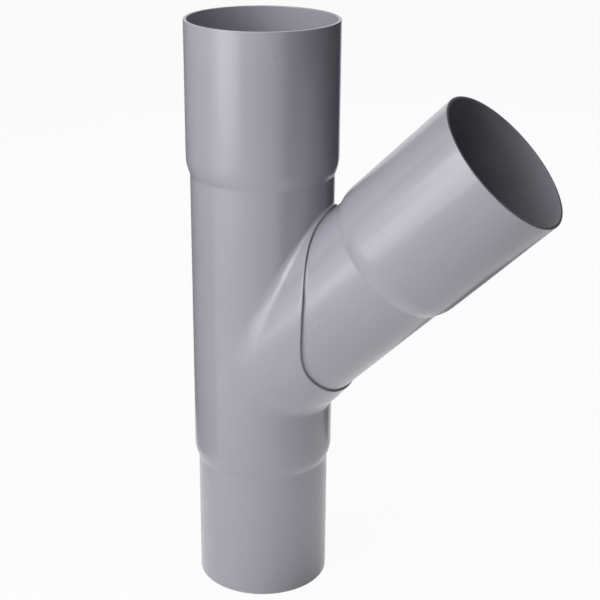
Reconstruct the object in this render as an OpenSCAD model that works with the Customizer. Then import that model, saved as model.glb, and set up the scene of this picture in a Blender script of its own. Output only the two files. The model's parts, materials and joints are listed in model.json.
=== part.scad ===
// Branch fitting for round rainwater pipe: a straight run with a socket above and a spigot below,
// and a branch pipe that is cemented at an angle into a collar drawn out of the run's wall.
// The origin is the centre of the spigot's lower end. The run stands along Z, the branch rises towards +X.

/* [Pipe] */
// Outside diameter of the pipe that both pieces are made from
pipe_d = 80; // [76:0.5:84]
// Wall thickness
wall = 1.8; // [1.5:0.1:2.4]

/* [Sockets] */
// Play of a pipe in a socket, on the diameter
socket_play = 0.8; // [0.4:0.1:1.2]
// Depth of a socket, from its mouth to its shoulder
socket_depth = 74; // [50:1:90]
// Length of the rounded shoulder between a socket and its pipe
socket_shoulder = 10; // [7:0.5:14]

/* [Spigot] */
// Play of the spigot in the bore of a pipe, on the diameter
spigot_play = 0.6; // [0.4:0.1:1.2]
// Length of the spigot, from its lower end to its shoulder
spigot_len = 76.5; // [50:0.5:90]
// Length of the rounded shoulder between the spigot and the body
spigot_shoulder = 8.5; // [6:0.5:12]

/* [Run] */
// Length of the body between its two shoulders
body_len = 162.5; // [158:0.5:200]
// Height at which the two axes cross, above the foot of the body
crossing_rise = 47.2; // [40:0.2:50]

/* [Branch] */
// Angle between the branch and the run
branch_angle = 45; // [45:1:55]
// Length of the branch pipe outside the axes' crossing, up to the shoulder of its socket
neck_len = 110; // [108:0.5:130]
// Distance along the branch axis at which the hidden end of the branch pipe begins
seat_start = 19.5; // [19.5:0.5:24]
// How far the tip of the hidden end stays inside the outline of the run
tip_inset = 0.4; // [0.2:0.1:1]

/* [Collar] */
// Gap for the cement between the branch pipe and the collar, on the diameter
cement_gap = 0.2; // [0.1:0.05:0.3]
// Distance between the run's outline and the straight stretch of the collar's edge
edge_reach = 2.5; // [2:0.1:5]
// Height above the axes' crossing at which the collar's edge starts to bend outwards
edge_bend_rise = 31; // [25:1:35]
// Radius of the bent stretch of the collar's edge
edge_bend_r = 58; // [50:1:80]
// Depth by which the root of the collar starts inside the side of the run
root_dip = 0.3; // [0.2:0.05:0.5]
// Length over which the root of the collar widens to its full diameter
root_len = 18; // [15:0.5:19]
// Width of the blend on each side of the crease, at the two crotches
blend_min = 2.5; // [1.5:0.1:2.8]
// Extra width of the blend at the sides of the run
blend_extra = 5.5; // [2:0.5:6]
// How tightly the wide stretch of the blend keeps to the sides
blend_focus = 3; // [3:1:16]

/* [Hidden] */

round_fn = 180;
pipe_r = pipe_d / 2;
bore_r = pipe_r - wall;
spigot_r = bore_r - spigot_play / 2;
socket_r = pipe_r + socket_play / 2 + wall;
socket_seat = spigot_len + spigot_shoulder + body_len;
crossing_z = spigot_len + spigot_shoulder + crossing_rise;

collar_r = pipe_r + cement_gap / 2 + wall;
root_r = pipe_r - root_dip;
// Length of the collar's cylinder before its edge is cut, past the upper crotch
collar_reach = (pipe_r + edge_reach + collar_r) / sin(branch_angle) + socket_shoulder;

along = [sin(branch_angle), 0, cos(branch_angle)];
below = [cos(branch_angle), 0, -sin(branch_angle)];
aside = [0, 1, 0];

// How far past a face a cut runs
past = 1;
// Room on each side of a slab that cuts a pipe across
slab = 2 * socket_r;
root_steps = 9;
edge_steps = 14;
blend_stations = 120;
blend_steps = 6;
crowding = 11;
halvings = 30;
// Height of the blend's border over the two surfaces that it joins, and its depth under them
lip = 0.04;
sunk = 1.1;

function unit(v) = v / norm(v);
function ease(t) = let (u = min(max(t, 0), 1)) u * u * (3 - 2 * u);

// Outside radius of the collar at a distance along the branch axis
function collar_at(s) = root_r + (collar_r - root_r) * ease(s / root_len);
function collar_slope(s) = (collar_at(s + lip) - collar_at(s - lip)) / (2 * lip);

// A point round the branch axis, with the crossing of the axes at zero
function round_branch(turn, s, r) = s * along + r * (cos(turn) * below + sin(turn) * aside);
function on_run(p, r) = [p.x * r / norm([p.x, p.y]), p.y * r / norm([p.x, p.y]), p.z];
function on_collar(p, grow) =
    let (s = p * along, out = unit(p - s * along)) s * along + (collar_at(s) + grow) * out;

function run_normal(p) = unit([p.x, p.y, 0]);
function collar_normal(p) =
    let (s = p * along) unit(unit(p - s * along) - collar_slope(s) * along);

// Distance along the branch at which the collar leaves the run, found by halving
function leaving(turn, inset, low, high, left) =
    let (mid = (low + high) / 2, p = round_branch(turn, mid, collar_at(mid) - inset))
    left == 0 ? mid
    : norm([p.x, p.y]) < pipe_r - inset ? leaving(turn, inset, mid, high, left - 1)
    : leaving(turn, inset, low, mid, left - 1);
function crease(turn, inset) =
    let (s = leaving(turn, inset, 0, collar_reach, halvings))
    round_branch(turn, s, collar_at(s) - inset);

// Handle length of a curve that turns by an angle, as a share of its chord
function handle(turn) = turn < 1 ? 1 / 3 : 2 / 3 * tan(turn / 4) / sin(turn / 2);
function curve(a, b, c, d, t) =
    pow(1 - t, 3) * a + 3 * t * pow(1 - t, 2) * b + 3 * t * t * (1 - t) * c + pow(t, 3) * d;

// Cross-section of the blend at one place on the crease
function blend_section(turn, inset) =
    let (
        c = crease(turn, inset),
        t = unit(crease(turn + 1, inset) - crease(turn - 1, inset)),
        n1 = run_normal(c),
        n2 = collar_normal(c),
        up = cross(t, n1),
        out = cross(n2, t),
        fold = acos(n1 * n2),
        reach = blend_min + blend_extra * pow(abs(sin(turn)), blend_focus) + inset * tan(fold / 2),
        p1 = c + reach * up,
        p2 = c + reach * out,
        a = on_run(p1, pipe_r - inset + lip),
        d = on_collar(p2, lip - inset),
        m1 = run_normal(a),
        m2 = collar_normal(d),
        t1 = unit((up * m1) * m1 - up),
        t2 = unit(out - (out * m2) * m2),
        h = norm(d - a) * handle(acos(min(t1 * t2, 1)))
    )
    concat(
        [c - sunk * unit(n1 + n2), on_run(p1, pipe_r - inset - sunk)],
        [for (i = [0 : blend_steps]) curve(a, a + h * t1, d - h * t2, d, i / blend_steps)],
        [on_collar(p2, -inset - sunk)]
    );

// Ring of material that rounds the crease between the run and the collar
module blend(inset) {
    count = blend_steps + 4;
    sections = [
        for (i = [0 : blend_stations - 1])
            let (t = i * 360 / blend_stations) blend_section(t + crowding * sin(2 * t), inset)
    ];
    polyhedron(
        points = [for (section = sections) each section],
        faces = [
            for (i = [0 : blend_stations - 1], k = [0 : count - 1])
                let (
                    here = i * count,
                    next = (i + 1) % blend_stations * count,
                    l = (k + 1) % count
                )
                each [[here + k, next + l, next + k], [here + k, here + l, next + l]]
        ],
        convexity = 8
    );
}

// Half section of a shoulder that narrows downwards from one radius to another
module shoulder_profile(low_r, high_r, top, length, inset) {
    step = high_r - low_r;
    arc_r = (length * length + step * step) / (2 * step);
    intersection() {
        translate([high_r - arc_r, top]) circle(r = arc_r - inset, $fn = round_fn);
        translate([0, top - length - past]) square([high_r, length + past]);
    }
}

// The run as a solid of revolution, without its branch. The inset is the wall for the bore.
module run_shape(inset) {
    end = inset > 0 ? past : 0;
    rotate_extrude($fn = round_fn) {
        translate([0, -end]) square([spigot_r - inset, spigot_len + spigot_shoulder + end]);
        shoulder_profile(spigot_r, pipe_r, spigot_len + spigot_shoulder, spigot_shoulder, inset);
        translate([0, spigot_len + spigot_shoulder]) square([pipe_r - inset, body_len + socket_shoulder]);
        shoulder_profile(pipe_r, socket_r, socket_seat + socket_shoulder, socket_shoulder, inset);
        translate([0, socket_seat + socket_shoulder]) square([socket_r - inset, socket_depth + end]);
    }
}

// Puts what stands on the crossing of the axes along Z in the place of the branch
module along_branch() {
    translate([0, 0, crossing_z]) rotate([0, branch_angle, 0]) children();
}

// The collar as a solid of revolution, up to a distance along the branch axis
module collar_shape(inset, reach) {
    rotate_extrude($fn = round_fn)
        polygon(concat(
            [[0, 0]],
            [for (i = [0 : root_steps]) let (s = i * root_len / root_steps) [collar_at(s) - inset, s]],
            [[collar_r - inset, reach], [0, reach]]
        ));
}

// Everything on the run's side of the collar's edge, as seen from the side
module edge_side() {
    edge_x = pipe_r + edge_reach;
    bend = [for (i = [0 : edge_steps]) i * 90 / edge_steps];
    translate([0, slab / 2, crossing_z]) rotate([90, 0, 0]) linear_extrude(slab)
        polygon(concat(
            [[-slab, 2 * slab], [edge_x, 2 * slab]],
            [for (a = bend) [edge_x + edge_bend_r * (1 - cos(a)), edge_bend_rise - edge_bend_r * sin(a)]],
            [[-slab, edge_bend_rise - edge_bend_r]]
        ));
}

module run_pipe() {
    color([0.66, 0.65, 0.69])
    difference() {
        union() {
            run_shape(0);
            intersection() {
                along_branch() collar_shape(0, collar_reach);
                edge_side();
            }
            intersection() {
                translate([0, 0, crossing_z]) blend(0);
                edge_side();
            }
        }
        run_shape(wall);
        along_branch() collar_shape(wall, collar_reach + past);
        translate([0, 0, crossing_z]) blend(wall);
    }
}

// The branch pipe as a solid of revolution along Z, from the crossing of the axes to its mouth
module branch_shape(inset) {
    end = inset > 0 ? past : 0;
    rotate_extrude($fn = round_fn) {
        translate([0, -end]) square([pipe_r - inset, neck_len + socket_shoulder + end]);
        shoulder_profile(pipe_r, socket_r, neck_len + socket_shoulder, socket_shoulder, inset);
        translate([0, neck_len + socket_shoulder]) square([socket_r - inset, socket_depth + end]);
    }
}

// What is cut off the hidden end of the branch pipe: square below, and aslant above,
// where the pipe has to stay out of the bore of the run
module hidden_end_cut() {
    tip = (pipe_r - tip_inset + pipe_r * cos(branch_angle)) / sin(branch_angle);
    rise = (tip - seat_start) / pipe_r;
    rotate([90, 0, 0]) linear_extrude(slab, center = true)
        polygon([
            [slab, seat_start],
            [0, seat_start],
            [-slab / 2, seat_start + rise * slab / 2],
            [-slab / 2, -slab],
            [slab, -slab]
        ]);
}

module branch_pipe() {
    color([0.67, 0.66, 0.7])
    along_branch() difference() {
        branch_shape(0);
        branch_shape(wall);
        hidden_end_cut();
    }
}

run_pipe();
branch_pipe();
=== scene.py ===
import json
import math

import bmesh
import bpy
import numpy as np
from mathutils import Matrix, Vector


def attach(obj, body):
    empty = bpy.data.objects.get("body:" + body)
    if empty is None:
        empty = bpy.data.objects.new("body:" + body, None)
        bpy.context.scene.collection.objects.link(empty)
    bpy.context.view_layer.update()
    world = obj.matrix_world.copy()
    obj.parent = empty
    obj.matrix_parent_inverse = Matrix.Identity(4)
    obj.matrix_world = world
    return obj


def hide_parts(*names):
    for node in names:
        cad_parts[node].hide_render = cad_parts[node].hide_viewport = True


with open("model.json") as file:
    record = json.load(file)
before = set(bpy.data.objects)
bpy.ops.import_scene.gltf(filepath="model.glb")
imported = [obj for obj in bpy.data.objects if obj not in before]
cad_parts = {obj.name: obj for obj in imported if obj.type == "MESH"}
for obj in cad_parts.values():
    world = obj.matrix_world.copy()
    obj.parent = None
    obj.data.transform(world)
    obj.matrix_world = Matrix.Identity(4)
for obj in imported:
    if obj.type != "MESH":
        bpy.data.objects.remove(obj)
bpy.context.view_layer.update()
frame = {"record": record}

# Sizes are in millimetres until a mesh is made. What the record states comes from the record.
MM = 0.001
mounts = {m["name"]: m for m in frame["record"]["mounts"]}
SOCKET_BORE = mounts["run_socket"]["dims"]["r_mm"]
SOCKET_DEPTH = mounts["run_socket"]["dims"]["length_mm"]
SPIGOT_R = mounts["spigot"]["dims"]["r_mm"]
SPIGOT_LEN = mounts["spigot"]["dims"]["length_mm"]
HEIGHT = mounts["run_socket"]["pos_m"][2] / MM
ALONG = np.array(mounts["branch_socket"]["axis"])
MOUTH = np.array(mounts["branch_socket"]["pos_m"]) / MM

PIPE_R = 40.0
WALL = 1.8
SOCKET_R = SOCKET_BORE + WALL
SOCKET_SHOULDER = 10.0
SPIGOT_SHOULDER = 8.5
BODY_LOW = SPIGOT_LEN + SPIGOT_SHOULDER
SOCKET_SEAT = HEIGHT - SOCKET_DEPTH
# Room for the soft corner between the body and the shoulder of the socket
CORNER_ROOM = 4.0
BODY_HIGH = SOCKET_SEAT - SOCKET_SHOULDER - CORNER_ROOM

BRANCH_LEN = MOUTH[0] / ALONG[0]
BRANCH_SEAT = BRANCH_LEN - SOCKET_DEPTH
CROSSING = MOUTH - BRANCH_LEN * ALONG
BELOW = np.array([ALONG[2], 0.0, -ALONG[0]])
ASIDE = np.array([0.0, 1.0, 0.0])
HIDDEN_START = 19.5
TIP_INSET = 0.4

# The drawn collar
CEMENT_GAP = 0.1
COLLAR_BORE = PIPE_R + CEMENT_GAP
COLLAR_R = COLLAR_BORE + WALL
ROOT_DIP = 0.3
ROOT_R = PIPE_R - ROOT_DIP
ROOT_LEN = 18.0
EDGE_REACH = 2.5
EDGE_X = PIPE_R + EDGE_REACH
EDGE_BEND_RISE = 31.0
EDGE_BEND_R = 58.0
BLEND_MIN = 2.5
BLEND_EXTRA = 5.5
BLEND_FOCUS = 3

# Two stretches of the collar's edge lie closer to the run than the cut in the CAD model: by how much along
# the branch, and where, in degrees from the branch's upper side
PULL_HIGH = 4.8
PULL_HIGH_RISE = 30.0
PULL_HIGH_END = 32.0
PULL_HIGH_FADE = 46.0
PULL_LOW = 1.1
PULL_LOW_MIDDLE = 112.0
PULL_LOW_FADE = 28.0

# The collar gets thinner towards the lower stretch of its edge: by how much, over what length, and over how
# many degrees on each side of the branch's lower side
THIN = 0.9
THIN_LEN = 12.0
THIN_FADE = 70.0

# The bead of cement in the upper stretch of the corner between the collar's edge and the branch pipe.
# Its crest and its rows are told as shares of its width.
BEAD_HEIGHT = 0.6
BEAD_SIDE = 0.35
BEAD_WIDTH = 1.9
BEAD_CREST = 0.22
BEAD_SHARES = (0, 0.07, 0.14, BEAD_CREST, 0.32, 0.42, 0.54, 0.68, 0.84, 1)
BEAD_CLEARANCE = 0.02
BEAD_LIFT = 0.01
# It fades at an angle from the branch's upper side, over some degrees, down to a share of its size
BEAD_END = 62.0
BEAD_FADE = 12.0
BEAD_LEAST = 0.02

# Roundings of the cut edges and of the corners beside the shoulders
RIM_ROUND = 0.35
CORNER_ROUND = 5.0

# Steps of the meshes
TURN_STEPS = 144
SIDE_STEPS = 60
FIELD_ROWS = 26
FIELD_GROWTH = 1.06
BLEND_ROWS = 14
COLLAR_ROWS = 12
HIDDEN_ROWS = 6
NECK_ROWS = 10
BORE_ROWS = 12
SHOULDER_STEPS = 10
CORNER_STEPS = 6
RIM_STEPS = 4
LOOP_STEPS = 2880
HALVINGS = 40

# Height above the crossing of the axes from which the rows on the body fan out
FAN_RISE = 25.0
# Longer than any distance along the branch that is looked for
FAR = 4 * COLLAR_R
# Points closer than this become one
WELD = 0.004
# How far from the ends of a long stretch its support rows lie, and how long such a stretch is at least
SUPPORT = 0.5
LONG_STRETCH = 2.0

# The grey PVC. Colours are written as they show on a screen, from 0 to 255.
GREY_DARK = (168, 166, 176)
GREY_LIGHT = (173, 171, 181)
GREY_LINE = (162, 160, 170)
GREY_SPECK = (120, 117, 124)
GREY_WORN = (196, 194, 200)
LINE_SHARE = 0.12
SPECK_SHARE = 0.35
WORN_SHARE = 0.6
ROUGHNESS = (0.21, 0.25)
# The ranges of the noises, and of the sharpness of edges, that make a difference
CLOUD_RANGE = (0.3, 0.7)
LINE_RANGE = (0.35, 0.65)
SPECK_RANGE = (0.76, 0.78)
WORN_RANGE = (0.54, 0.62)
IOR = 1.53
# How much the drawing lines are longer than they are wide
LINE_LENGTH = 50

# Numbers of a Mix node's sockets for colours
MIX_SHARE = 0
MIX_A = 6
MIX_B = 7
MIX_RESULT = 2

# The stage is in metres, degrees and watts.
# The middle of the part, from which the places of the lamps are told
MIDDLE = Vector((0.05, -0.03, 0.25))
SOFTBOX_DISTANCE = 1.0
TABLE_LAMP_Z = 0.003
LYING_CARD_Z = 0.001
CARD_TOP = 1.3
NEAR_CARD_TOP = 0.31
CARD_BLACK = 0.01

# Strength of the world as it lights the part, and as the camera and reflections show it
WORLD_LIT = 0.04
WORLD_SHOWN = 1.0

FLOOR_HALF = 3.0
FLOOR_PAINT = 0.85
# Share of plain white in the floor that the camera and reflections show. The rest keeps the part's shadow.
FLOOR_GLOW = 0.95

# The photograph's view, as fitted to the part's outlines. The distance is from the axis of the run.
CAMERA_DISTANCE = 0.742197
CAMERA_HEIGHT = 0.456469
CAMERA_AZIMUTH = 25.687
CAMERA_PAN = 1.638
CAMERA_PITCH = 21.003
CAMERA_ROLL = -0.489
PHOTO_SIDE_PX = 600
FOCAL_PX = 1391.553
SENSOR_MM = 36
CLIP_START = 0.01


def unit(v):
    return v / np.linalg.norm(v, axis=-1, keepdims=True)


def dot(a, b):
    return (a * b).sum(-1, keepdims=True)


def ease(t):
    u = np.clip(t, 0, 1)
    return u * u * (3 - 2 * u)


def stretch(start, end, steps, growth=1.0):
    """Values from a start to an end in a number of steps, each longer than the last by a factor."""
    lengths = growth ** np.arange(steps)
    shares = np.concatenate([[0], np.cumsum(lengths) / lengths.sum()])
    return [start + (end - start) * share for share in shares]


def collar_at(s):
    """Outside radius of the collar at a distance along the branch."""
    return ROOT_R + (COLLAR_R - ROOT_R) * ease(s / ROOT_LEN)


def collar_slope(s):
    step = 0.02
    return (collar_at(s + step) - collar_at(s - step)) / (2 * step)


def round_branch(turn, s, r):
    """Points round the branch axis, with the crossing of the axes at zero."""
    out = np.cos(turn)[..., None] * BELOW + np.sin(turn)[..., None] * ASIDE
    return np.asarray(s)[..., None] * ALONG + np.asarray(r)[..., None] * out


def on_run(p, r):
    flat = p * [1, 1, 0]
    return r * unit(flat) + p * [0, 0, 1]


def on_collar(p, grow):
    s = dot(p, ALONG)
    return s * ALONG + (collar_at(s) + grow) * unit(p - s * ALONG)


def run_normal(p):
    return unit(p * [1, 1, 0])


def collar_normal(p):
    s = dot(p, ALONG)
    return unit(unit(p - s * ALONG) - collar_slope(s) * ALONG)


def crease(turn, inset):
    """Where the collar meets the run, found by halving."""
    low, high = np.zeros_like(turn), np.full_like(turn, FAR)
    for _ in range(HALVINGS):
        mid = (low + high) / 2
        p = round_branch(turn, mid, collar_at(mid) - inset)
        inside = np.hypot(p[..., 0], p[..., 1]) < PIPE_R - inset
        low, high = np.where(inside, mid, low), np.where(inside, high, mid)
    mid = (low + high) / 2
    return round_branch(turn, mid, collar_at(mid) - inset)


def handle(turn):
    """Handle length of a curve that turns by an angle, as a share of its chord."""
    least = 0.02
    turn = np.maximum(turn, least)
    return 2 / 3 * np.tan(turn / 4) / np.sin(turn / 2)


def blend_strip(turn, inset, rows):
    """Rows of points from the run to the collar, across the rounded crease."""
    step = math.radians(1)
    c = crease(turn, inset)
    t = unit(crease(turn + step, inset) - crease(turn - step, inset))
    n1, n2 = run_normal(c), collar_normal(c)
    up, out = np.cross(t, n1), np.cross(n2, t)
    fold = np.arccos(np.clip(dot(n1, n2), -1, 1))
    wide = np.abs(np.sin(turn))[..., None] ** BLEND_FOCUS
    reach = BLEND_MIN + BLEND_EXTRA * wide + inset * np.tan(fold / 2)
    # The curve starts at a on the run and ends at d on the collar, level with both surfaces
    a, d = on_run(c + reach * up, PIPE_R - inset), on_collar(c + reach * out, -inset)
    m1, m2 = run_normal(a), collar_normal(d)
    t1 = unit(dot(up, m1) * m1 - up)
    t2 = unit(out - dot(out, m2) * m2)
    chord = np.linalg.norm(d - a, axis=-1, keepdims=True)
    h = chord * handle(np.arccos(np.clip(dot(t1, t2), -1, 1)))
    b, e = a + h * t1, d - h * t2
    strip = []
    for i in range(rows + 1):
        u = i / rows
        strip.append((1 - u) ** 3 * a + 3 * u * (1 - u) ** 2 * b + 3 * u * u * (1 - u) * e + u ** 3 * d)
    return strip


def from_top(turn):
    """Angle in degrees between a turn round the branch and the upper side of the branch."""
    return np.degrees(np.arccos(np.clip(-np.cos(turn), -1, 1)))


def edge_pull(turn):
    """How much closer to the run the collar's edge lies than the cut in the CAD model."""
    top = from_top(turn)
    high = ease(top / PULL_HIGH_RISE) * (1 - ease((top - PULL_HIGH_END) / PULL_HIGH_FADE))
    low = ease(1 - np.abs(top - PULL_LOW_MIDDLE) / PULL_LOW_FADE)
    return PULL_HIGH * high + PULL_LOW * low


def edge_thinning(turn):
    """How much thinner the collar is at its edge than elsewhere."""
    return THIN * (1 - ease((180 - from_top(turn)) / THIN_FADE))


def edge_distance(turn, r):
    """Distance along the branch at which a line of the collar reaches the collar's edge."""
    low, high = np.zeros_like(turn), np.full_like(turn, FAR)
    for _ in range(HALVINGS):
        mid = (low + high) / 2
        p = round_branch(turn, mid, r)
        drop = np.clip(EDGE_BEND_RISE - p[..., 2], 0, EDGE_BEND_R)
        edge = EDGE_X + EDGE_BEND_R - np.sqrt(EDGE_BEND_R ** 2 - drop ** 2)
        inside = p[..., 0] < edge
        low, high = np.where(inside, mid, low), np.where(inside, high, mid)
    return (low + high) / 2 - edge_pull(turn)


def turn_of(p):
    """Angle of a point round the branch axis."""
    return np.arctan2((p * ASIDE).sum(-1), (p * BELOW).sum(-1))


class Net:
    """A mesh made of closed rows of points that are joined by quads."""

    def __init__(self):
        self.points = []
        self.faces = []

    def row(self, points):
        """Adds points and returns their numbers."""
        start = len(self.points)
        self.points.extend(points)
        return list(range(start, start + len(points)))

    def join(self, low, high):
        """Joins two rows with quads."""
        count = len(low)
        for i in range(count):
            j = (i + 1) % count
            self.faces.append((low[i], low[j], high[j], high[i]))

    def strip(self, rows):
        """Adds a series of rows of points and joins each to the next."""
        numbered = [self.row(r) for r in rows]
        for low, high in zip(numbered, numbered[1:]):
            self.join(low, high)

    def build(self, name):
        mesh = bpy.data.meshes.new(name)
        mesh.from_pydata([tuple(np.asarray(p) * MM) for p in self.points], [], self.faces)
        work = bmesh.new()
        work.from_mesh(mesh)
        bmesh.ops.remove_doubles(work, verts=work.verts, dist=WELD * MM)
        bmesh.ops.recalc_face_normals(work, faces=work.faces)
        work.to_mesh(mesh)
        work.free()
        mesh.polygons.foreach_set("use_smooth", [True] * len(mesh.polygons))
        mesh.update()
        piece = bpy.data.objects.new(name, mesh)
        bpy.context.scene.collection.objects.link(piece)
        return piece


def arc(centre, r, start, end, steps):
    a = np.radians(np.linspace(start, end, steps + 1))
    return [(centre[0] + r * math.cos(x), centre[1] + r * math.sin(x)) for x in a]


def shoulder(low_r, high_r, top, length, inset):
    """Outline of a rounded shoulder, upwards: a soft corner, then an arc that ends upright."""
    step = high_r - low_r
    arc_r = (length ** 2 + step ** 2) / (2 * step)
    centre = np.array([high_r - arc_r, top])
    r = arc_r - inset
    soft = CORNER_ROUND + inset
    # The soft corner is an arc outside both the narrow pipe and the shoulder's arc
    corner_x = low_r - inset + soft
    corner_z = top - math.sqrt((r + soft) ** 2 - (corner_x - centre[0]) ** 2)
    touch = math.degrees(math.atan2(corner_z - top, corner_x - centre[0]))
    corner = arc((corner_x, corner_z), soft, 180, 180 + touch, CORNER_STEPS)
    return corner + arc(centre, r, touch, 0, SHOULDER_STEPS)[1:]


def soft_line(points):
    """Adds a point close to each end of every long straight stretch, so that shading stays even."""
    out = [points[0]]
    for a, b in zip(points, points[1:]):
        a, b = np.array(a), np.array(b)
        length = np.linalg.norm(b - a)
        if length > LONG_STRETCH:
            out.append(tuple(a + (b - a) * SUPPORT / length))
            out.append(tuple(b - (b - a) * SUPPORT / length))
        out.append(tuple(b))
    return out


def rim(outer_r, inner_r, z, up):
    """Outline across a cut end, from the outside to the inside."""
    side = 1 if up else -1
    centre_z = z - side * RIM_ROUND
    outer = arc((outer_r - RIM_ROUND, centre_z), RIM_ROUND, 0, side * 90, RIM_STEPS)
    inner = arc((inner_r + RIM_ROUND, centre_z), RIM_ROUND, side * 90, side * 180, RIM_STEPS)
    return outer + inner


def revolve(profile, turns):
    """Rows of points round the Z axis, one for each point of an outline."""
    return [np.c_[r * np.cos(turns), r * np.sin(turns), np.full(len(turns), z)] for r, z in profile]


# The run, with its collar


def field_border():
    """Unrolled points round the body: the angle and the height of each, once round the collar."""
    turns = np.linspace(-math.pi, math.pi, TURN_STEPS + 1)
    heights = np.linspace(BODY_LOW, BODY_HIGH, SIDE_STEPS + 1)
    top = [(a, BODY_HIGH) for a in turns[:-1]]
    right = [(math.pi, z) for z in heights[::-1][:-1]]
    bottom = [(a, BODY_LOW) for a in turns[::-1][:-1]]
    left = [(-math.pi, z) for z in heights[:-1]]
    return np.array(top + right + bottom + left)


def bearing(angle, z, centre_z):
    return np.arctan2(z - centre_z, angle * PIPE_R)


def stations(border):
    """The turns at which the blend's outline lies between the fan's middle and each point of the border."""
    fine = np.linspace(0, 2 * math.pi, LOOP_STEPS + 1)
    loop = blend_strip(fine, 0, 1)[0]
    centre_z = CROSSING[2] + FAN_RISE
    bearings = np.unwrap(bearing(np.arctan2(loop[:, 1], loop[:, 0]), loop[:, 2] + CROSSING[2], centre_z))
    wanted = bearing(border[:, 0], border[:, 1], centre_z)
    if bearings[-1] < bearings[0]:
        bearings, fine = bearings[::-1], fine[::-1]
    wanted = bearings[0] + (wanted - bearings[0]) % (2 * math.pi)
    return np.interp(wanted, bearings, fine)


def field_rows(border, loop, r):
    """Rows on the body's cylinder, from the blend's outline to the border."""
    start = np.c_[np.arctan2(loop[:, 1], loop[:, 0]), loop[:, 2]]
    rows = stretch(start, border, FIELD_ROWS, FIELD_GROWTH)
    return [np.c_[r * np.cos(p[:, 0]), r * np.sin(p[:, 0]), p[:, 1]] for p in rows]


def collar_rows(last_out, last_in):
    """Rows along the collar, over its rounded edge and back along its bore."""
    out, back = last_out - CROSSING, last_in - CROSSING
    turn_out, turn_in = turn_of(out), turn_of(back)
    thinning = edge_thinning(turn_out)
    lip_r = COLLAR_R - thinning
    edge_out = edge_distance(turn_out, lip_r)
    edge_in = edge_distance(turn_in, COLLAR_BORE)
    lip_out, lip_in = edge_out - RIM_ROUND, edge_in - RIM_ROUND
    quarter = np.radians(np.linspace(0, 90, RIM_STEPS + 1))
    rows = []
    for s in stretch((out * ALONG).sum(-1), lip_out, COLLAR_ROWS)[1:]:
        r = collar_at(s) - thinning * ease(1 - (lip_out - s) / THIN_LEN)
        rows.append(round_branch(turn_out, s, r))
    for a in quarter[1:]:
        s = edge_out - RIM_ROUND * (1 - math.sin(a))
        rows.append(round_branch(turn_out, s, lip_r - RIM_ROUND * (1 - math.cos(a))))
    for a in quarter[::-1]:
        s = edge_in - RIM_ROUND * (1 - math.sin(a))
        rows.append(round_branch(turn_in, s, COLLAR_BORE + RIM_ROUND * (1 - math.cos(a))))
    bore_end = np.minimum((back * ALONG).sum(-1), edge_in - 2 * RIM_ROUND)
    for s in stretch(lip_in, bore_end, COLLAR_ROWS)[1:-1]:
        rows.append(round_branch(turn_in, s, collar_at(s) - WALL))
    return [row + CROSSING for row in rows]


def make_run():
    net = Net()
    turns = np.linspace(-math.pi, math.pi, TURN_STEPS, endpoint=False)
    lower = shoulder(SPIGOT_R, PIPE_R, BODY_LOW, SPIGOT_SHOULDER, 0)
    lower_in = shoulder(SPIGOT_R, PIPE_R, BODY_LOW, SPIGOT_SHOULDER, WALL)
    upper = shoulder(PIPE_R, SOCKET_R, SOCKET_SEAT, SOCKET_SHOULDER, 0)
    upper_in = shoulder(PIPE_R, SOCKET_R, SOCKET_SEAT, SOCKET_SHOULDER, WALL)
    foot = lower_in[::-1] + rim(SPIGOT_R, SPIGOT_R - WALL, 0, False)[::-1] + lower
    head = upper + rim(SOCKET_R, SOCKET_BORE, HEIGHT, True) + upper_in[::-1]
    outer_low = (PIPE_R, BODY_LOW)
    inner_low = (PIPE_R - WALL, BODY_LOW)
    outer_high = (PIPE_R, BODY_HIGH)
    inner_high = (PIPE_R - WALL, BODY_HIGH)
    net.strip(revolve(soft_line([inner_low] + foot + [outer_low]), turns))
    net.strip(revolve(soft_line([outer_high] + head + [inner_high]), turns))

    border = field_border()
    turn = stations(border)
    blend_out = [p + CROSSING for p in blend_strip(turn, 0, BLEND_ROWS)]
    blend_in = [p + CROSSING for p in blend_strip(turn, WALL, BLEND_ROWS)]
    outside = field_rows(border, blend_out[0], PIPE_R)[::-1] + blend_out[1:]
    inside = field_rows(border, blend_in[0], PIPE_R - WALL)[::-1] + blend_in[1:]
    net.strip(outside + collar_rows(blend_out[-1], blend_in[-1]) + inside[::-1])
    return net.build("run_pipe_formed")


# The branch pipe


def hidden_end(turn, r):
    """Distance along the branch at which the branch pipe's hidden end is cut."""
    tip = (PIPE_R - TIP_INSET + PIPE_R * BELOW[0]) / ALONG[0]
    above = np.maximum(-r * np.cos(turn), 0)
    return HIDDEN_START + (tip - HIDDEN_START) * above / PIPE_R


def bead_rows(turn):
    """Rows across the bead of cement, from the corner outwards: up to a crest, then gently down."""
    size = np.maximum(1 - ease((from_top(turn) - BEAD_END) / BEAD_FADE), BEAD_LEAST)
    corner = edge_distance(turn, PIPE_R) + BEAD_CLEARANCE
    rows = [(corner, PIPE_R)]
    for share in BEAD_SHARES:
        if share < BEAD_CREST:
            height = BEAD_HEIGHT - (BEAD_HEIGHT - BEAD_SIDE) * (1 - share / BEAD_CREST) ** 2
        else:
            height = BEAD_HEIGHT * (1 - ease((share - BEAD_CREST) / (1 - BEAD_CREST)))
        rows.append((corner + BEAD_WIDTH * share + BEAD_LIFT, PIPE_R + height * size))
    return rows


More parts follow.
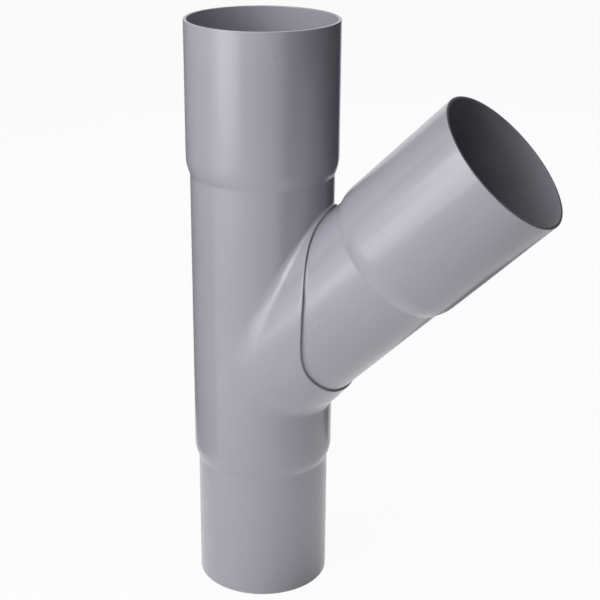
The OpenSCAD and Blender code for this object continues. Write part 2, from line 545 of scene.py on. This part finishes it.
def make_branch():
    turn = np.linspace(0, 2 * math.pi, TURN_STEPS, endpoint=False)
    bead = bead_rows(turn)
    head = (shoulder(PIPE_R, SOCKET_R, BRANCH_SEAT, SOCKET_SHOULDER, 0)
            + rim(SOCKET_R, SOCKET_BORE, BRANCH_LEN, True)
            + shoulder(PIPE_R, SOCKET_R, BRANCH_SEAT, SOCKET_SHOULDER, WALL)[::-1])
    # Each row is a distance along the branch and a radius
    rows = [(s, PIPE_R) for s in stretch(hidden_end(turn, PIPE_R), bead[0][0], HIDDEN_ROWS)[:-1]]
    rows += bead
    rows += [(s, PIPE_R) for s in stretch(bead[-1][0], head[0][1], NECK_ROWS)[1:-1]]
    rows += [(s, r) for r, s in soft_line(head)]
    bore_r = PIPE_R - WALL
    rows += [(s, bore_r) for s in stretch(head[-1][1], hidden_end(turn, bore_r), BORE_ROWS)[1:]]
    rows.append(rows[0])
    net = Net()
    net.strip([round_branch(turn, s, r) + CROSSING for s, r in rows])
    return net.build("branch_pipe_formed")


# Material


def node(tree, kind, **values):
    made = tree.nodes.new(kind)
    for name, value in values.items():
        setattr(made, name, value)
    return made


def link(tree, source, target):
    tree.links.new(source, target)


def mapped(tree, scale, turn):
    """Object coordinates, turned about Y so that Z runs along the pipe, then scaled."""
    place = node(tree, "ShaderNodeTexCoord")
    turned = node(tree, "ShaderNodeMapping")
    turned.inputs["Rotation"].default_value = (0, -turn, 0)
    scaled = node(tree, "ShaderNodeMapping")
    scaled.inputs["Scale"].default_value = scale
    link(tree, place.outputs["Object"], turned.inputs["Vector"])
    link(tree, turned.outputs["Vector"], scaled.inputs["Vector"])
    return scaled.outputs["Vector"]


def noise(tree, vector, scale, detail):
    made = node(tree, "ShaderNodeTexNoise")
    made.inputs["Scale"].default_value = scale
    made.inputs["Detail"].default_value = detail
    link(tree, vector, made.inputs["Vector"])
    return made.outputs["Fac"]


def spread(tree, value, old, new):
    """Spreads one range of a value over another. The value stays within the new range."""
    made = node(tree, "ShaderNodeMapRange")
    for name, (low, high) in (("From", old), ("To", new)):
        made.inputs[name + " Min"].default_value = low
        made.inputs[name + " Max"].default_value = high
    link(tree, value, made.inputs["Value"])
    return made.outputs["Result"]


def mix(tree, share, a, b):
    """Mixes two colours. Each is a colour or a socket, and the share is a socket."""
    made = node(tree, "ShaderNodeMix", data_type="RGBA")
    link(tree, share, made.inputs[MIX_SHARE])
    for socket, value in ((made.inputs[MIX_A], a), (made.inputs[MIX_B], b)):
        if isinstance(value, bpy.types.NodeSocket):
            link(tree, value, socket)
        else:
            socket.default_value = colour(*value)
    return made.outputs[MIX_RESULT]


def bump(tree, height, strength, distance, normal=None):
    """Bumps of a distance in metres, over the ones that a normal holds."""
    made = node(tree, "ShaderNodeBump")
    made.inputs["Strength"].default_value = strength
    made.inputs["Distance"].default_value = distance
    link(tree, height, made.inputs["Height"])
    if normal is not None:
        link(tree, normal, made.inputs["Normal"])
    return made.outputs["Normal"]


def colour(r, g, b):
    """A colour for a shader, from one as it shows on a screen."""
    def linear(x):
        x /= 255
        return x / 12.92 if x <= 0.04045 else ((x + 0.055) / 1.055) ** 2.4
    return (linear(r), linear(g), linear(b), 1.0)


def pvc(name, turn):
    """Light grey extruded PVC: an even satin skin with faint drawing lines, specks and paler edges."""
    material = bpy.data.materials.new(name)
    material.use_nodes = True
    tree = material.node_tree
    shader = tree.nodes["Principled BSDF"]
    plain = mapped(tree, (1, 1, 1), turn)
    drawn = mapped(tree, (1, 1, 1 / LINE_LENGTH), turn)

    cloud = spread(tree, noise(tree, plain, scale=14, detail=3), CLOUD_RANGE, (0, 1))
    base = mix(tree, cloud, GREY_DARK, GREY_LIGHT)
    lines = spread(tree, noise(tree, drawn, scale=420, detail=2), LINE_RANGE, (0, 1))
    base = mix(tree, spread(tree, lines, (0, 1), (0, LINE_SHARE)), base, GREY_LINE)
    specks = spread(tree, noise(tree, plain, scale=620, detail=1), SPECK_RANGE, (0, SPECK_SHARE))
    base = mix(tree, specks, base, GREY_SPECK)
    edge = node(tree, "ShaderNodeNewGeometry").outputs["Pointiness"]
    base = mix(tree, spread(tree, edge, WORN_RANGE, (0, WORN_SHARE)), base, GREY_WORN)
    link(tree, base, shader.inputs["Base Color"])

    rough = spread(tree, noise(tree, plain, scale=60, detail=4), CLOUD_RANGE, ROUGHNESS)
    link(tree, rough, shader.inputs["Roughness"])
    shader.inputs["IOR"].default_value = IOR

    waves = bump(tree, noise(tree, plain, scale=35, detail=2), strength=0.05, distance=0.002)
    drawing = bump(tree, lines, strength=0.04, distance=0.0004, normal=waves)
    grain = noise(tree, plain, scale=900, detail=3)
    skin = bump(tree, grain, strength=0.06, distance=0.0002, normal=drawing)
    link(tree, skin, shader.inputs["Normal"])
    return material


# Stage


def camera_ray_mix(tree, lit, shown):
    """Mixes two shaders: one for the light that reaches the object, one for what the camera sees."""
    path = node(tree, "ShaderNodeLightPath")
    seen = path.outputs["Is Camera Ray"]
    for kind in ("Is Glossy Ray", "Is Transmission Ray"):
        most = node(tree, "ShaderNodeMath", operation="MAXIMUM")
        link(tree, seen, most.inputs[0])
        link(tree, path.outputs[kind], most.inputs[1])
        seen = most.outputs[0]
    made = node(tree, "ShaderNodeMixShader")
    link(tree, seen, made.inputs["Fac"])
    link(tree, lit, made.inputs[1])
    link(tree, shown, made.inputs[2])
    return made.outputs["Shader"]


def white_light(tree, kind, strength):
    """A shader that gives plain white light."""
    made = node(tree, kind)
    made.inputs["Color"].default_value = (1, 1, 1, 1)
    made.inputs["Strength"].default_value = strength
    return made.outputs[0]


def make_world():
    world = bpy.data.worlds.new("studio")
    bpy.context.scene.world = world
    world.use_nodes = True
    tree = world.node_tree
    tree.nodes.clear()
    lit = white_light(tree, "ShaderNodeBackground", WORLD_LIT)
    shown = white_light(tree, "ShaderNodeBackground", WORLD_SHOWN)
    out = node(tree, "ShaderNodeOutputWorld")
    link(tree, camera_ray_mix(tree, lit, shown), out.inputs["Surface"])


def stage_piece(name, points, faces, material):
    """A mesh of the stage, which is no piece of the part."""
    mesh = bpy.data.meshes.new(name)
    mesh.from_pydata(points, [], faces)
    mesh.materials.append(material)
    piece = bpy.data.objects.new(name, mesh)
    bpy.context.scene.collection.objects.link(piece)
    return piece


def make_floor():
    material = bpy.data.materials.new("floor_white")
    material.use_nodes = True
    tree = material.node_tree
    tree.nodes.clear()
    paint = node(tree, "ShaderNodeBsdfDiffuse")
    paint.inputs["Color"].default_value = (FLOOR_PAINT, FLOOR_PAINT, FLOOR_PAINT, 1)
    shown = node(tree, "ShaderNodeMixShader")
    shown.inputs["Fac"].default_value = FLOOR_GLOW
    link(tree, paint.outputs[0], shown.inputs[1])
    link(tree, white_light(tree, "ShaderNodeEmission", 1.0), shown.inputs[2])
    out = node(tree, "ShaderNodeOutputMaterial")
    link(tree, camera_ray_mix(tree, paint.outputs[0], shown.outputs[0]), out.inputs["Surface"])
    h = FLOOR_HALF
    stage_piece("floor", [(-h, -h, 0), (h, -h, 0), (h, h, 0), (-h, h, 0)], [(0, 1, 2, 3)], material)


def away(azimuth, elevation, distance):
    """A place seen from the middle of the part in a direction."""
    az, el = math.radians(azimuth), math.radians(elevation)
    level = math.cos(el)
    return MIDDLE + distance * Vector((level * math.cos(az), level * math.sin(az), math.sin(el)))


def make_light(name, place, target, size, power, in_reflections=True):
    data = bpy.data.lights.new(name, "AREA")
    data.shape = "RECTANGLE"
    data.size, data.size_y = size
    data.energy = power
    light = bpy.data.objects.new(name, data)
    light.location = place
    light.rotation_mode = "QUATERNION"
    light.rotation_quaternion = (Vector(target) - Vector(place)).to_track_quat("-Z", "Y")
    light.visible_camera = False
    light.visible_glossy = in_reflections
    bpy.context.scene.collection.objects.link(light)


def soft_panel(name, azimuth, low, high, width, power):
    """Upright panel of the softbox. It faces the upright line through the middle of the part."""
    x, y, _ = away(azimuth, 0, SOFTBOX_DISTANCE)
    z = (low + high) / 2
    make_light(name, (x, y, z), (MIDDLE.x, MIDDLE.y, z), (width, high - low), power)


def facing_lamp(name, azimuth, elevation, distance, size, power, in_reflections=True):
    """Lamp that faces the middle of the part."""
    make_light(name, away(azimuth, elevation, distance), MIDDLE, size, power, in_reflections)


def table_lamp(name, x, y, size, power):
    """Lamp that lies on the table and stands in for the light that comes back from it."""
    make_light(name, (x, y, TABLE_LAMP_Z), (x, y, 1.0), size, power, in_reflections=False)


def make_lights():
    soft_panel("softbox_high", azimuth=-118, low=0.5, high=0.85, width=1.0, power=5.75)
    soft_panel("softbox_middle", azimuth=-124, low=0.22, high=0.5, width=0.4, power=1.13)
    soft_panel("softbox_low", azimuth=-118, low=0.02, high=0.22, width=0.6, power=1.08)
    facing_lamp("high_front", azimuth=-92, elevation=40, distance=1.1, size=(0.5, 0.4), power=1.84)
    facing_lamp("high_left", azimuth=-155, elevation=52, distance=1.1, size=(0.4, 0.4), power=2.3)
    facing_lamp("left_strip", azimuth=-177, elevation=14, distance=1.0, size=(0.06, 0.25), power=0.2)
    facing_lamp("low_right", azimuth=-15, elevation=0, distance=0.9, size=(0.25, 0.4), power=0.25)
    facing_lamp("back", azimuth=97, elevation=25, distance=1.3, size=(0.6, 0.6), power=4.0,
                in_reflections=False)
    make_light("mouth_fill", place=(0.03, -0.03, 0.5), target=(-0.02, 0.03, 0.3), size=(0.1, 0.1), power=0.05,
               in_reflections=False)
    table_lamp("table_glow", x=0.2, y=-0.05, size=(0.25, 0.4), power=0.21)
    table_lamp("table_front", x=0.0, y=-0.35, size=(0.8, 0.5), power=0.16)


def make_card(name, points, faces):
    """Black card, as beside a part in a studio. The camera and the lamps pass it."""
    material = bpy.data.materials.new(name)
    material.use_nodes = True
    black = material.node_tree.nodes["Principled BSDF"]
    black.inputs["Base Color"].default_value = (CARD_BLACK, CARD_BLACK, CARD_BLACK, 1)
    black.inputs["Roughness"].default_value = 1.0
    card = stage_piece(name, points, faces, material)
    card.visible_camera = False
    card.visible_shadow = False
    return card


def standing_card(name, top, places):
    count = len(places)
    points = [(*p, 0) for p in places] + [(*p, top) for p in places]
    make_card(name, points, [(i, i + 1, count + i + 1, count + i) for i in range(count - 1)])


def lying_card(name, places):
    """Card that only reflections show. It stands in for the part's shadow on the white table."""
    card = make_card(name, [(*p, LYING_CARD_Z) for p in places], [tuple(range(len(places)))])
    card.visible_diffuse = False


def make_cards():
    standing_card("card_right", CARD_TOP, [(0.38, -0.30), (0.24, 0.42), (0.0, 0.6)])
    standing_card("card_left", CARD_TOP, [(-0.41, 0.43), (-0.58, 0.01)])
    standing_card("card_front", CARD_TOP, [(-0.57, -0.10), (-0.54, -0.24)])
    standing_card("card_near", NEAR_CARD_TOP, [(-0.15, -0.13), (-0.18, 0.08), (-0.205, 0.17)])
    lying_card("card_shadow", [(0.065, 0.175), (0.17, 0.175), (0.17, 0.42), (0.08, 0.36)])


def make_camera():
    azimuth, turn = math.radians(CAMERA_AZIMUTH), math.radians(CAMERA_AZIMUTH - CAMERA_PAN)
    pitch, roll = math.radians(CAMERA_PITCH), math.radians(CAMERA_ROLL)
    place = Vector((CAMERA_DISTANCE * math.sin(azimuth), -CAMERA_DISTANCE * math.cos(azimuth), CAMERA_HEIGHT))
    ahead = Vector((-math.sin(turn) * math.cos(pitch), math.cos(turn) * math.cos(pitch), -math.sin(pitch)))
    right = ahead.cross(Vector((0, 0, 1))).normalized()
    down = ahead.cross(right)
    right_rolled = right * math.cos(roll) + down * math.sin(roll)
    down_rolled = -right * math.sin(roll) + down * math.cos(roll)
    data = bpy.data.cameras.new("camera")
    data.sensor_width = SENSOR_MM
    data.lens = FOCAL_PX / PHOTO_SIDE_PX * SENSOR_MM
    data.clip_start = CLIP_START
    camera = bpy.data.objects.new("camera", data)
    columns = Matrix((right_rolled, -down_rolled, -ahead)).transposed()
    camera.matrix_world = Matrix.Translation(place) @ columns.to_4x4()
    bpy.context.scene.collection.objects.link(camera)
    bpy.context.scene.camera = camera


def main():
    bpy.context.scene.view_settings.view_transform = "Standard"
    make_world()
    make_floor()
    make_lights()
    make_cards()
    make_camera()
    branch_turn = math.atan2(ALONG[0], ALONG[2])
    for piece, cad_node, turn in ((make_run(), "run_pipe", 0.0), (make_branch(), "branch_pipe", branch_turn)):
        piece.data.materials.append(pvc(cad_node + "_pvc", turn))
        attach(piece, "root")
        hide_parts(cad_node)


main()
